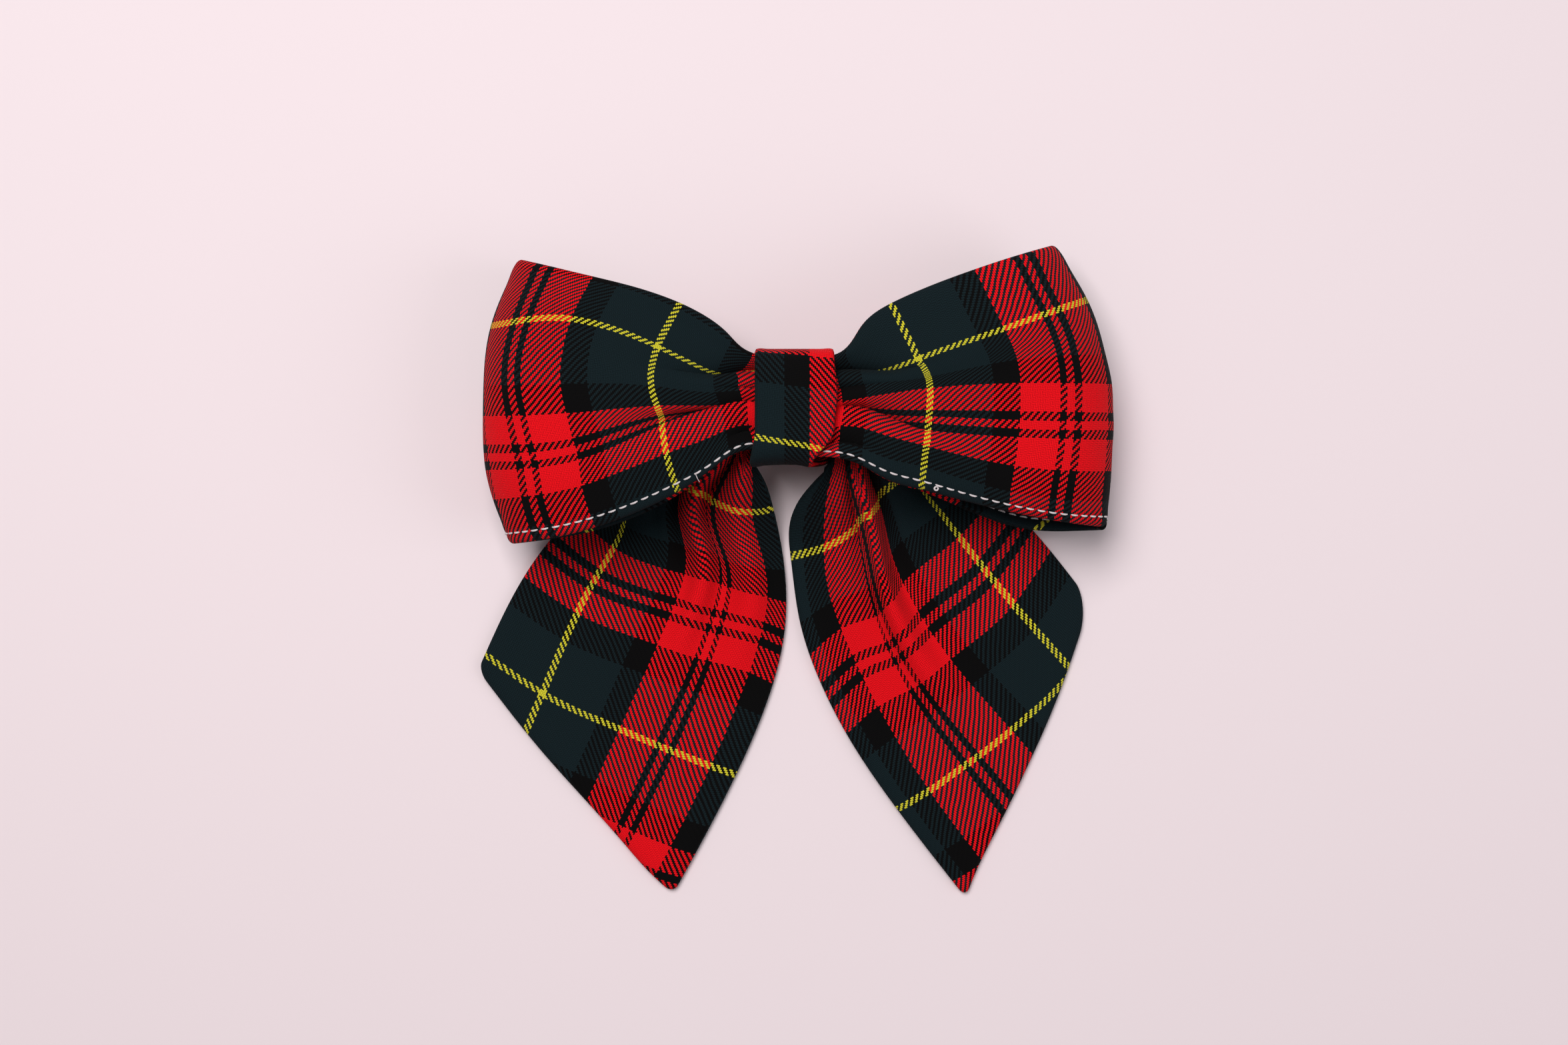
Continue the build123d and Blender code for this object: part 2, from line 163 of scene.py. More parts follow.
def normals_of(points):
    """Unit normals of a grid of points: the cross product of its two tangents, by central differences."""
    along, across = np.gradient(points, axis=0), np.gradient(points, axis=1)
    normal = np.cross(along, across)
    return normal / np.maximum(np.linalg.norm(normal, axis=-1, keepdims=True), 1e-12)


# %% [markdown]
# ## From a grid to a mesh
# A strip is a flattened tube: its front ply and its back ply meet in a rounded edge. The two plies are the middle
# surface moved both ways along its normal, by half a thickness that falls to nothing at the edges as a circle
# does. The same helper makes the closed mesh for every cloth piece and gives it the flat cloth's millimetres as UVs.


# %% Closed double-ply mesh
MERGE_DISTANCE, THINNEST = 1e-5, 1e-4
EDGE_ZONE = 3.0


def object_from(name, vertices, faces, uvs=None):
    """A mesh object at the origin, from metre vertices, faces (an array or a list) and one (u, v) per vertex."""
    mesh = bpy.data.meshes.new(name)
    mesh.from_pydata(vertices.tolist(), [], faces if isinstance(faces, list) else faces.tolist())
    if uvs is not None:
        layer = mesh.uv_layers.new(name="cloth")
        loops = np.zeros(len(mesh.loops), dtype=np.int32)
        mesh.loops.foreach_get("vertex_index", loops)
        layer.data.foreach_set("uv", uvs[loops].ravel())
    mesh.polygons.foreach_set("use_smooth", np.ones(len(mesh.polygons), dtype=bool))
    mesh.update()
    piece = bpy.data.objects.new(name, mesh)
    bpy.context.collection.objects.link(piece)
    return piece


def tube_faces(rows, around, closed):
    """Quads of a grid whose second direction closes, and whose first closes too if closed is true."""
    i = np.arange(rows if closed else rows - 1)[:, None]
    j = np.arange(around)[None, :]
    i2, j2 = (i + 1) % rows, (j + 1) % around
    quads = np.stack([i * around + j, i2 * around + j, i2 * around + j2, i * around + j2], axis=-1)
    return quads.reshape(-1, 4)


def double_ply(name, middle, normal, thickness, uvs, closed=False):
    """Both plies round a middle surface, at plus and minus half the thickness along its normal: the front ply runs
    edge to edge and the back one returns. Corners that lie together where the thickness ends are made one."""
    thickness = np.where(thickness < THINNEST, 0, thickness)
    front = middle + normal * thickness[..., None] / 2
    back = middle - normal * thickness[..., None] / 2
    skin = np.concatenate([front, back[:, -2:0:-1]], axis=1)
    flat = np.concatenate([uvs, uvs[:, -2:0:-1]], axis=1)
    faces = tube_faces(len(skin), skin.shape[1], closed)
    keys = np.round(skin.reshape(-1, 3) / MERGE_DISTANCE).astype(np.int64)
    _, first, merged = np.unique(keys, axis=0, return_index=True, return_inverse=True)
    faces = merged.reshape(-1)[faces]
    return object_from(name, skin.reshape(-1, 3)[first] * MM, faces, flat.reshape(-1, 2)[first])


def edge_round(distance, radius):
    """0 at an edge and 1 further in than radius, rising as a quarter circle."""
    inside = np.clip(distance / radius, 0, 1)
    return np.sqrt(np.maximum(1 - (1 - inside) ** 2, 0))


def across_grid(half, fine, coarse):
    """Places across a strip from -half to half: close together in the last few millimetres, wider between."""
    turn = np.linspace(-1, 1, coarse)
    inner = turn * (half - EDGE_ZONE)
    edge = EDGE_ZONE * (1 - np.cos(np.linspace(0, np.pi / 2, fine)[1:]))
    edge = half - edge[::-1]
    return np.concatenate([-edge[::-1], inner[1:-1], edge])


print("helpers ready")

# %% [markdown]
# ## Tartan
# Tartan is woven with the same order of stripes both ways: here a red band split by two black lines, then black,
# dark green, a yellow line, green and black again. In a 2/2 twill each yarn goes over two and under two, one step
# on in each row, so diagonal lines of warp and weft alternate. The material does the weaving: it counts yarns in
# the flat cloth's millimetres, picks the stripe's colour for each yarn both ways, and lets the count's diagonal
# decide which of the two lies on top. Each yarn also gets its own rounded height for the bump, and the same height
# darkens the colour towards the gaps between yarns as painted shade.

# %% Stripe orders and yarn size
YARN = 0.39
RED, BLACK = (0.86, 0.004, 0.010), (0.0018, 0.0015, 0.0018)
GREEN, YELLOW = (0.0060, 0.0140, 0.0175), (0.66, 0.60, 0.035)
# Half of each repeat in millimetres, from the middle of the red band: colour and where it ends
ACROSS = ((BLACK, 0.0), (RED, 1.0), (BLACK, 2.7), (RED, 12.0), (BLACK, 18.2), (GREEN, 32.0), (YELLOW, 33.0))
LENGTH = ((BLACK, 0.0), (RED, 1.05), (BLACK, 2.95), (RED, 9.55), (BLACK, 16.95), (GREEN, 29.95), (YELLOW, 30.9))


def add_node(tree, kind, *inputs, **settings):
    """A node with its settings, whose inputs are numbers or other nodes' outputs."""
    node = tree.nodes.new(kind)
    for name, value in settings.items():
        setattr(node, name, value)
    for socket, value in zip(node.inputs, inputs):
        if isinstance(value, bpy.types.NodeSocket):
            tree.links.new(value, socket)
        elif value is not None:
            socket.default_value = value
    return node


def new_material(name):
    """A new node material, its tree and its shader."""
    material = bpy.data.materials.new(name)
    material.use_nodes = True
    return material, material.node_tree, material.node_tree.nodes["Principled BSDF"]


def relief(tree, shader, height, strength, distance):
    """Bump on the shader from a height socket, with its depth in metres."""
    bump = add_node(tree, "ShaderNodeBump")
    bump.inputs["Strength"].default_value = strength
    bump.inputs["Distance"].default_value = distance
    tree.links.new(height, bump.inputs["Height"])
    tree.links.new(bump.outputs[0], shader.inputs["Normal"])


def maths(tree, operation, *inputs):
    """The output of a Math node."""
    return add_node(tree, "ShaderNodeMath", *inputs, operation=operation).outputs[0]


def stripes(tree, place, order):
    """Colour of the yarn at a place: the place is folded about the red band's middle, and a stepped ramp has one
    step for each stripe."""
    half = order[-1][1]
    folded = maths(tree, "PINGPONG", place, half)
    ramp = add_node(tree, "ShaderNodeValToRGB", maths(tree, "DIVIDE", folded, half))
    ramp.color_ramp.interpolation = "CONSTANT"
    steps = [(order[n][1] / half, order[n + 1][0]) for n in range(len(order) - 1)]
    for n, (start, colour) in enumerate(steps):
        step = ramp.color_ramp.elements[n] if n < 2 else ramp.color_ramp.elements.new(start)
        step.position = start
        step.color = (*colour, 1)
    return ramp.outputs["Color"]


def yarn_height(tree, place):
    """1 along the middle of a yarn, falling as a parabola to 0 in the gap beside it."""
    inside = maths(tree, "FRACT", maths(tree, "DIVIDE", place, YARN))
    offset = maths(tree, "SUBTRACT", maths(tree, "MULTIPLY", inside, 2.0), 1.0)
    return maths(tree, "SUBTRACT", 1.0, maths(tree, "MULTIPLY", offset, offset))


def tartan_material(name, lean):
    """Twill tartan cloth. lean is 1 where its diagonals rise to the right of the flat cloth, -1 to the left."""
    material, tree, shader = new_material(name)
    uv = add_node(tree, "ShaderNodeUVMap", uv_map="cloth").outputs[0]
    wander = add_node(tree, "ShaderNodeTexNoise", uv, None, 0.35, 2.0)
    drift = add_node(tree, "ShaderNodeVectorMath", wander.outputs["Color"], (0.5, 0.5, 0.5), operation="SUBTRACT")
    drift = add_node(tree, "ShaderNodeVectorMath", drift.outputs[0], (0.35, 0.35, 0.0), operation="MULTIPLY")
    place = add_node(tree, "ShaderNodeVectorMath", uv, drift.outputs[0], operation="ADD")
    split = add_node(tree, "ShaderNodeSeparateXYZ", place.outputs[0])
    u, v = split.outputs[0], split.outputs[1]
    warp_count = maths(tree, "FLOOR", maths(tree, "DIVIDE", u, YARN))
    weft_count = maths(tree, "FLOOR", maths(tree, "DIVIDE", v, YARN))
    step = maths(tree, "MULTIPLY", weft_count, -lean)
    phase = maths(tree, "FLOORED_MODULO", maths(tree, "ADD", warp_count, step), 4.0)
    warp_up = maths(tree, "LESS_THAN", phase, 1.5)
    warp_colour = stripes(tree, maths(tree, "MULTIPLY", warp_count, YARN), ACROSS)
    weft_colour = stripes(tree, maths(tree, "MULTIPLY", weft_count, YARN), LENGTH)
    woven = add_node(tree, "ShaderNodeMix", data_type="RGBA")
    tree.links.new(warp_up, woven.inputs[0])
    tree.links.new(weft_colour, woven.inputs[6])
    tree.links.new(warp_colour, woven.inputs[7])
    height = add_node(tree, "ShaderNodeMix", warp_up, data_type="FLOAT")
    tree.links.new(yarn_height(tree, v), height.inputs[2])
    tree.links.new(yarn_height(tree, u), height.inputs[3])
    fibre = add_node(tree, "ShaderNodeTexNoise", uv, None, 3.0, 3.0)
    lightness = maths(tree, "MULTIPLY_ADD", fibre.outputs["Fac"], 0.45, 0.62)
    # Painted shade: the colour is darkened towards the gaps between yarns by the yarn's height; the fibre noise above
    # is random tone.
    lightness = maths(tree, "MULTIPLY", lightness, maths(tree, "MULTIPLY_ADD", height.outputs[0], 0.75, 0.42))
    shade = add_node(tree, "ShaderNodeVectorMath", woven.outputs[2], operation="SCALE")
    tree.links.new(lightness, shade.inputs["Scale"])
    tree.links.new(shade.outputs[0], shader.inputs["Base Color"])
    relief(tree, shader, height.outputs[0], 0.5, 0.00012)
    shader.inputs["Roughness"].default_value = 0.85
    shader.inputs["Specular IOR Level"].default_value = 0.08
    shader.inputs["Sheen Weight"].default_value = 0.012
    shader.inputs["Sheen Roughness"].default_value = 0.5
    return material


TARTAN_RISING = tartan_material("tartan_rising", 1)
TARTAN_FALLING = tartan_material("tartan_falling", -1)
print("tartan repeats", 2 * ACROSS[-1][1], "x", 2 * LENGTH[-1][1], "mm")

# %% [markdown]
# ## The loops
# One strip, closed into a ring, makes both loops. Seen from the front each loop is a fan: its rows of cloth start
# close together at the knot and spread to the full width at the outer fold. So the net has the rows as they cross
# five columns, from the knot out to the fold. Round the fold the ring turns back: with q running from -1 at the
# front of the knot through 0 at the fold to 1 at the back, the way out to the fold is 1 - q^2, and the height
# leaves the middle level in proportion to q near the fold, which makes the fold round.

# %% Loop nets, in millimetres
HALF_STRIP = 34.0
KNOT_EDGE = 0.13
COLUMNS = (0.0, KNOT_EDGE, 0.28, 0.47, 0.74, 1.0)
WAIST_LOW, WAIST_HIGH = 27.0, 51.0
# Heights in each column: the middle level, and how far the front and back panels lie from it
LOOP_LEVELS = (24.6, 24.6, 23.4, 20.8, 19.2, 17.0)
FRONT_SPREAD = (4.4, 4.6, 7.0, 10.6, 11.8, 12.0)
BACK_SPREAD = (4.2, 4.2, 5.4, 9.4, 11.6, 12.0)
FOLD_SHARE, FOLD_INSET, CREASE_RUN = 0.16, 1.1, 0.34


def waist_y(t):
    """Height of a row in the waist under the band."""
    return WAIST_LOW + (t + HALF_STRIP) / (2 * HALF_STRIP) * (WAIST_HIGH - WAIST_LOW)


LOOPS = {
    "left": dict(
        side=-1, red_row=-13.3, peek=(-0.7, 1.7, 0.60, 0.22),
        rows=(-34.0, -22.85, -16.3, -13.3, -3.75, 2.5, 17.6, 33.7),
        net=(
            ((-11.5, 28.9), (-20.6, 24.6), (-29.4, 19.0), (-50.5, 10.2), (-69.3, 6.3)),
            ((-11.0, 35.0), (-20.6, 32.1), (-32.2, 28.0), (-53.2, 20.2), (-73.8, 16.9)),
            ((-10.6, 39.6), (-20.5, 38.4), (-33.2, 34.2), (-54.2, 26.0), (-75.6, 23.8)),
            ((-10.5, 40.0), (-20.5, 39.4), (-33.6, 36.4), (-54.5, 28.7), (-76.0, 26.9)),
            ((-10.5, 40.4), (-20.7, 40.2), (-34.6, 39.5), (-56.0, 37.5), (-76.3, 36.8)),
            ((-10.5, 42.2), (-21.0, 42.3), (-35.8, 43.4), (-57.0, 43.3), (-76.2, 43.0)),
            ((-10.8, 47.2), (-20.2, 47.9), (-34.5, 53.9), (-56.0, 60.3), (-74.5, 58.3)),
            ((-11.1, 52.4), (-17.6, 57.6), (-28.9, 64.4), (-48.1, 70.2), (-67.6, 74.5)),
        ),
        creases=((-11.0, -15.5, 7.5, 2.6, 6.0, 0.34), (19.5, 10.0, 6.0, 2.4, 5.0, 0.20),
                 (7.0, 8.0, 2.0, 2.5, 3.0, 0.10), (-25.0, -25.0, 2.0, 3.0, 3.0, 0.10)),
    ),
    "right": dict(
        side=1, red_row=-10.1, peek=(1.1, 2.3, 0.76, 0.20),
        rows=(-34.0, -19.65, -13.05, -10.1, -7.15, -0.55, 6.0, 20.8, 34.0),
        net=(
            ((11.5, 26.6), (20.8, 22.2), (30.2, 19.2), (52.0, 12.9), (74.6, 10.0)),
            ((11.0, 34.5), (20.6, 32.5), (31.4, 29.6), (53.4, 24.2), (76.2, 23.4)),
            ((10.4, 39.2), (20.6, 36.7), (31.9, 33.6), (54.0, 31.5), (76.6, 31.0)),
            ((10.0, 39.6), (20.5, 37.9), (32.1, 36.2), (54.2, 34.7), (76.8, 34.5)),
            ((10.0, 39.9), (20.5, 39.3), (32.2, 38.4), (54.2, 38.0), (76.7, 37.6)),
            ((10.0, 40.7), (20.5, 42.2), (32.3, 43.7), (54.2, 44.8), (76.4, 44.5)),
            ((10.0, 43.0), (20.4, 44.6), (31.9, 46.3), (53.6, 50.0), (75.1, 50.8)),
            ((10.2, 47.9), (20.0, 48.3), (29.6, 50.8), (49.5, 57.6), (70.7, 64.5)),
            ((9.9, 52.3), (15.2, 58.4), (22.7, 64.4), (43.0, 72.6), (62.3, 78.2)),
        ),
        creases=((-10.0, -13.5, 7.5, 2.6, 4.0, 0.26), (21.0, 18.0, 6.0, 2.2, 5.0, 0.22),
                 (8.0, 8.0, 2.5, 2.5, 3.0, 0.12), (-25.0, -25.0, 2.0, 3.0, 3.0, 0.10)),
    ),
}


def loop_middle(loop, q, t):
    """Middle surface of one loop at (q, t), in millimetres. Each crease runs from row near at the knot to row far,
    with its depth, its width below and above, and its reach. peek lifts the front panel's low edge and drops the
    back one's by (rise, drop) round the place middle, so that the back panel shows under the front."""
    out = 1 - q ** 2
    rows = np.asarray(loop["rows"])
    net = np.asarray(loop["net"], float)
    centre = np.stack([np.zeros(len(rows)), waist_y(rows)], axis=-1)[:, None]
    plan = net_surface(rows, COLUMNS, np.concatenate([centre, net], axis=1), t, out)
    edge = np.abs(t) / HALF_STRIP
    level = spline(COLUMNS, LOOP_LEVELS, out)
    spread = np.where(q < 0, spline(COLUMNS, FRONT_SPREAD, out), spline(COLUMNS, BACK_SPREAD, out))
    fold = np.minimum((1 - out) / FOLD_SHARE, 1)
    narrowing = np.where(t < 0, 0.42, 0.18) * smooth(out / 0.4)
    spread = spread * np.sqrt(1 - (1 - fold) ** 2) * (1 - narrowing * edge ** 4)
    front = q < 0
    height = level + np.where(front, spread, -spread)
    gathered = smooth(out / (0.6 * KNOT_EDGE))
    for near, far, depth, below, above, reach in loop["creases"]:
        beyond = np.maximum(out - KNOT_EDGE, 0)
        row = near + (far - near) * np.minimum(beyond / CREASE_RUN, 1)
        fade = np.exp(-(beyond / reach) ** 2) * gathered
        valley = np.exp(-np.abs((t - row) / np.where(t < row, below, above)) ** 1.3)
        height = height + np.where(front, -1.0, 0.4) * depth * fade * valley
    rise, drop, middle, width = loop["peek"]
    low = smooth(-(t + 6) / 26) * np.exp(-((out - middle) / width) ** 2)
    plan[..., 1] += np.where(front, rise, -drop) * low
    plan[..., 0] -= loop["side"] * FOLD_INSET * smooth((out - 0.7) / 0.3)
    return seen_from_above(np.concatenate([plan, height[..., None]], axis=-1))


# %% Ring of cloth
SEAM_INSET = 3.0
EDGE_RADIUS = 1.3
ACROSS_STRIP = across_grid(HALF_STRIP, 9, 100)
AROUND_HALF = 108


def ring_middle():
    """The whole ring: out and back round the right loop, then round the left one, and its (u, v) on the flat cloth.
    u is the length along each row from the yellow line that crosses the front, and v counts across the rows."""
    turn = np.linspace(-1, 1, 2 * AROUND_HALF + 1)[:-1]
    points, flat = [], []
    for name, q_line in (("right", turn), ("left", -turn)):
        loop = LOOPS[name]
        q, t = np.meshgrid(q_line, ACROSS_STRIP, indexing="ij")
        middle = loop_middle(loop, q, t)
        step = np.linalg.norm(np.diff(middle, axis=0), axis=-1)
        length = np.concatenate([np.zeros((1, len(ACROSS_STRIP))), np.cumsum(step, axis=0)])
        yellow = int(np.argmin(np.abs(q_line + np.sqrt(1 - COLUMNS[3]))))
        u = loop["side"] * ACROSS[-1][1] + (length - length[yellow])
        v = t - loop["red_row"]
        points.append(middle)
        flat.append(np.stack([u, v], axis=-1))
    return np.concatenate(points), np.concatenate(flat)


ring, ring_uv = ring_middle()
print("strip along its middle row: %.0f mm" % np.linalg.norm(np.diff(ring[:, 50], axis=0), axis=-1).sum())


def strip_thickness(distance):
    """Thickness of a sewn double strip: fuller just inside its edges, where the seam allowance lies."""
    full = 1.7 + 0.7 * np.exp(-((distance - 2.6) / 2.4) ** 2)
    return full * edge_round(distance, EDGE_RADIUS)


def closed_normals(points):
    """Normals of a grid that closes in its first direction."""
    wrapped = np.concatenate([points[-1:], points, points[:1]])
    return normals_of(wrapped)[1:-1]


ring_distance = HALF_STRIP - np.abs(ACROSS_STRIP)[None, :] + np.zeros((len(ring), 1))
ring_thickness = strip_thickness(ring_distance)
ring_thickness -= 0.5 * np.exp(-((ACROSS_STRIP + HALF_STRIP - SEAM_INSET) / 0.7) ** 2)
ring_normal = closed_normals(ring)
bow_cloth = double_ply("bow_cloth", ring, ring_normal, ring_thickness, ring_uv, closed=True)
bow_cloth.data.materials.append(TARTAN_RISING)
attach(bow_cloth, "bow")
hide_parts("bow_strip")
print("bow cloth:", len(bow_cloth.data.polygons), "faces")

# %% [markdown]
# ## The running stitch
# A pale thread closes the open edge of the ring 3 mm inside it. Each stitch is a short tube that comes up out of
# the cloth, lies on it and goes down again: along its length it rises as a half sine, and its ends are under the
# surface. The same stitches show on the inside of the ring, half a stitch later. All of them are one array of
# points: stitch by stitch, ring by ring, corner by corner.

# %% Stitches along a line on the cloth
STITCH_PITCH, STITCH_LENGTH, STITCH_RADIUS = 2.76, 2.05, 0.25


def stitches_along(name, line, normals, starts, length, radius, rings=7, corners=6):
    """Tubes over a line on the surface, one from each start in millimetres of arc length: their middle follows
    the line, raised along its normal by the radius times (1.6 times the root of the sine of the way along, less
    0.7)."""
    arc = np.concatenate([[0], np.cumsum(np.linalg.norm(np.diff(line, axis=0), axis=-1))])
    way = np.linspace(0, 1, rings)
    places = np.asarray(starts)[:, None] + way * length

    def at(values, where):
        return np.stack([np.interp(where, arc, values[:, k]) for k in range(3)], axis=-1)

    up = at(normals, places)
    up /= np.linalg.norm(up, axis=-1, keepdims=True)
    ahead = at(line, places + 0.3) - at(line, places - 0.3)
    ahead /= np.linalg.norm(ahead, axis=-1, keepdims=True)
    aside = np.cross(ahead, up)
    lift = radius * (1.6 * np.sqrt(np.sin(np.pi * way) + 1e-9) - 0.7)
    middle = at(line, places) + up * lift[None, :, None]
    thick = radius * (0.45 + 0.55 * np.sin(np.pi * way) ** 0.5)
    turn = np.linspace(0, 2 * np.pi, corners, endpoint=False)
    circle = np.cos(turn)[:, None] * aside[:, :, None] + np.sin(turn)[:, None] * up[:, :, None]
    points = middle[:, :, None] + circle * thick[None, :, None, None]
    first = np.arange(len(places))[:, None, None] * rings * corners
    quads = (first + tube_faces(rings, corners, False)[None]).reshape(-1, 4)
    start_cap = (first[:, 0] + np.arange(corners)[None, ::-1]).tolist()
    end_cap = (first[:, 0] + (rings - 1) * corners + np.arange(corners)[None]).tolist()
    return object_from(name, points.reshape(-1, 3) * MM, quads.tolist() + start_cap + end_cap)


def thread_material(name, colour, twist):
    """Spun thread: a fine slanting stripe of painted shade in the grooves between its twisted plies, which also makes
    its bump, and slight patches of colour.
    """
    material, tree, shader = new_material(name)
    place = add_node(tree, "ShaderNodeTexCoord").outputs["Object"]
    patches = add_node(tree, "ShaderNodeTexNoise", place, None, 900.0, 2.0)
    plies = add_node(tree, "ShaderNodeTexWave", place, twist, 3.0, 1.0)
    light = maths(tree, "MULTIPLY_ADD", patches.outputs["Fac"], 0.35, 0.66)
    # Painted shade: the colour darkens in the grooves of the slanting ply stripe; the patches above are random tone.
    light = maths(tree, "MULTIPLY", light, maths(tree, "MULTIPLY_ADD", plies.outputs["Fac"], 0.25, 0.8))
    tone = add_node(tree, "ShaderNodeVectorMath", colour, operation="SCALE")
    tree.links.new(light, tone.inputs["Scale"])
    tree.links.new(tone.outputs[0], shader.inputs["Base Color"])
    relief(tree, shader, plies.outputs["Fac"], 0.4, 0.00005)
    shader.inputs["Roughness"].default_value = 0.75
    return material


PALE_THREAD = thread_material("pale_thread_finish", (0.80, 0.72, 0.74), 900.0)
DARK_THREAD = thread_material("dark_thread_finish", (0.012, 0.014, 0.018), 900.0)

seam = int(np.argmin(np.abs(ACROSS_STRIP + HALF_STRIP - SEAM_INSET)))
seam_middle = np.concatenate([ring[:, seam], ring[:1, seam]])
seam_normal = np.concatenate([ring_normal[:, seam], ring_normal[:1, seam]])
seam_half = np.concatenate([ring_thickness[:, seam], ring_thickness[:1, seam]])[:, None] / 2
for name, direction, shift in (("outer_stitches", 1, 0.5), ("inner_stitches", -1, 0.5 + STITCH_PITCH / 2)):
    line = seam_middle + seam_normal * seam_half * direction
    run = np.linalg.norm(np.diff(line, axis=0), axis=-1).sum()
    starts = np.arange(shift, run - STITCH_PITCH, STITCH_PITCH)
    row = stitches_along(name, line, seam_normal * direction, starts, STITCH_LENGTH, STITCH_RADIUS)
    row.data.materials.append(PALE_THREAD)
    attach(row, "bow")
    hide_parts("bow_topstitch")
    print(name, len(starts), "stitches")

# %% [markdown]
# ## Ends of the sewing thread
# The stitching starts with a small knot on the right loop, and a cut end of thread stands out of the left one. Both
# follow a short curve that leaves the cloth at the row of stitches: the knot's curve winds round itself.

# %% Thread knot and loose end
THREAD_CORNERS = 8
KNOT_RADIUS, LOOSE_RADIUS = 0.20, 0.11


def thread_end(name, out, curve, radius):
    """A tube along curve, in millimetres from the place on the front of the seam nearest to out."""
    front_seam = seam_middle + seam_normal * seam_half
    index = int(np.argmin(np.hypot(*(front_seam[:, :2] - np.array(out)).T) - front_seam[:, 2] * 0.2))
    path = front_seam[index] + curve
    ahead = np.gradient(path, axis=0)
    ahead /= np.linalg.norm(ahead, axis=1, keepdims=True)
    aside = np.cross(ahead, (0.31, 0.23, 0.92))
    aside /= np.linalg.norm(aside, axis=1, keepdims=True)
    up = np.cross(aside, ahead)
    turn = np.linspace(0, 2 * np.pi, THREAD_CORNERS, endpoint=False)[None, :, None]
    taper = radius * edge_round(np.minimum(np.arange(len(path)), np.arange(len(path))[::-1]) + 0.4, 3.0)
    tube = path[:, None] + taper[:, None, None] * (np.cos(turn) * aside[:, None] + np.sin(turn) * up[:, None])
    sides = tube_faces(len(path), THREAD_CORNERS, False).tolist()
    corners = list(range(len(path) * THREAD_CORNERS))
    caps = [corners[:THREAD_CORNERS][::-1], corners[-THREAD_CORNERS:]]
    thread = object_from(name, tube.reshape(-1, 3) * MM, sides + caps)
    thread.data.materials.append(PALE_THREAD)
    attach(thread, "bow")
    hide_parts("bow_topstitch")


way = np.linspace(0, 1, 60)[:, None]
wound = np.hstack([0.42 * np.cos(13 * way), -0.9 + 0.42 * np.sin(13 * way), 0.1 + 0.55 * np.sin(8 * way)])
thread_end("thread_knot", (31.5, 18.5), wound, KNOT_RADIUS)
hanging = np.hstack([0.5 * way + 0.4 * way ** 2, -2.0 * way, 0.3 - 1.6 * way ** 2])
thread_end("thread_loose_end", (-23.5, 22.6), hanging, LOOSE_RADIUS)
print("thread ends: 2")

# %% [markdown]
# ## The tails
# The second strip passes behind the loops and turns down on both sides. It is one sheet from cut end to cut end:
# w counts millimetres across it from its red band, v along it, with 0 at the middle of a red band that crosses
# each tail and -60 in the middle of the waist. Both ends are cut on a slant with the points towards each other.
# Where the strip comes out of the knot its pleats stand up as ridges, and they die out down the tail.

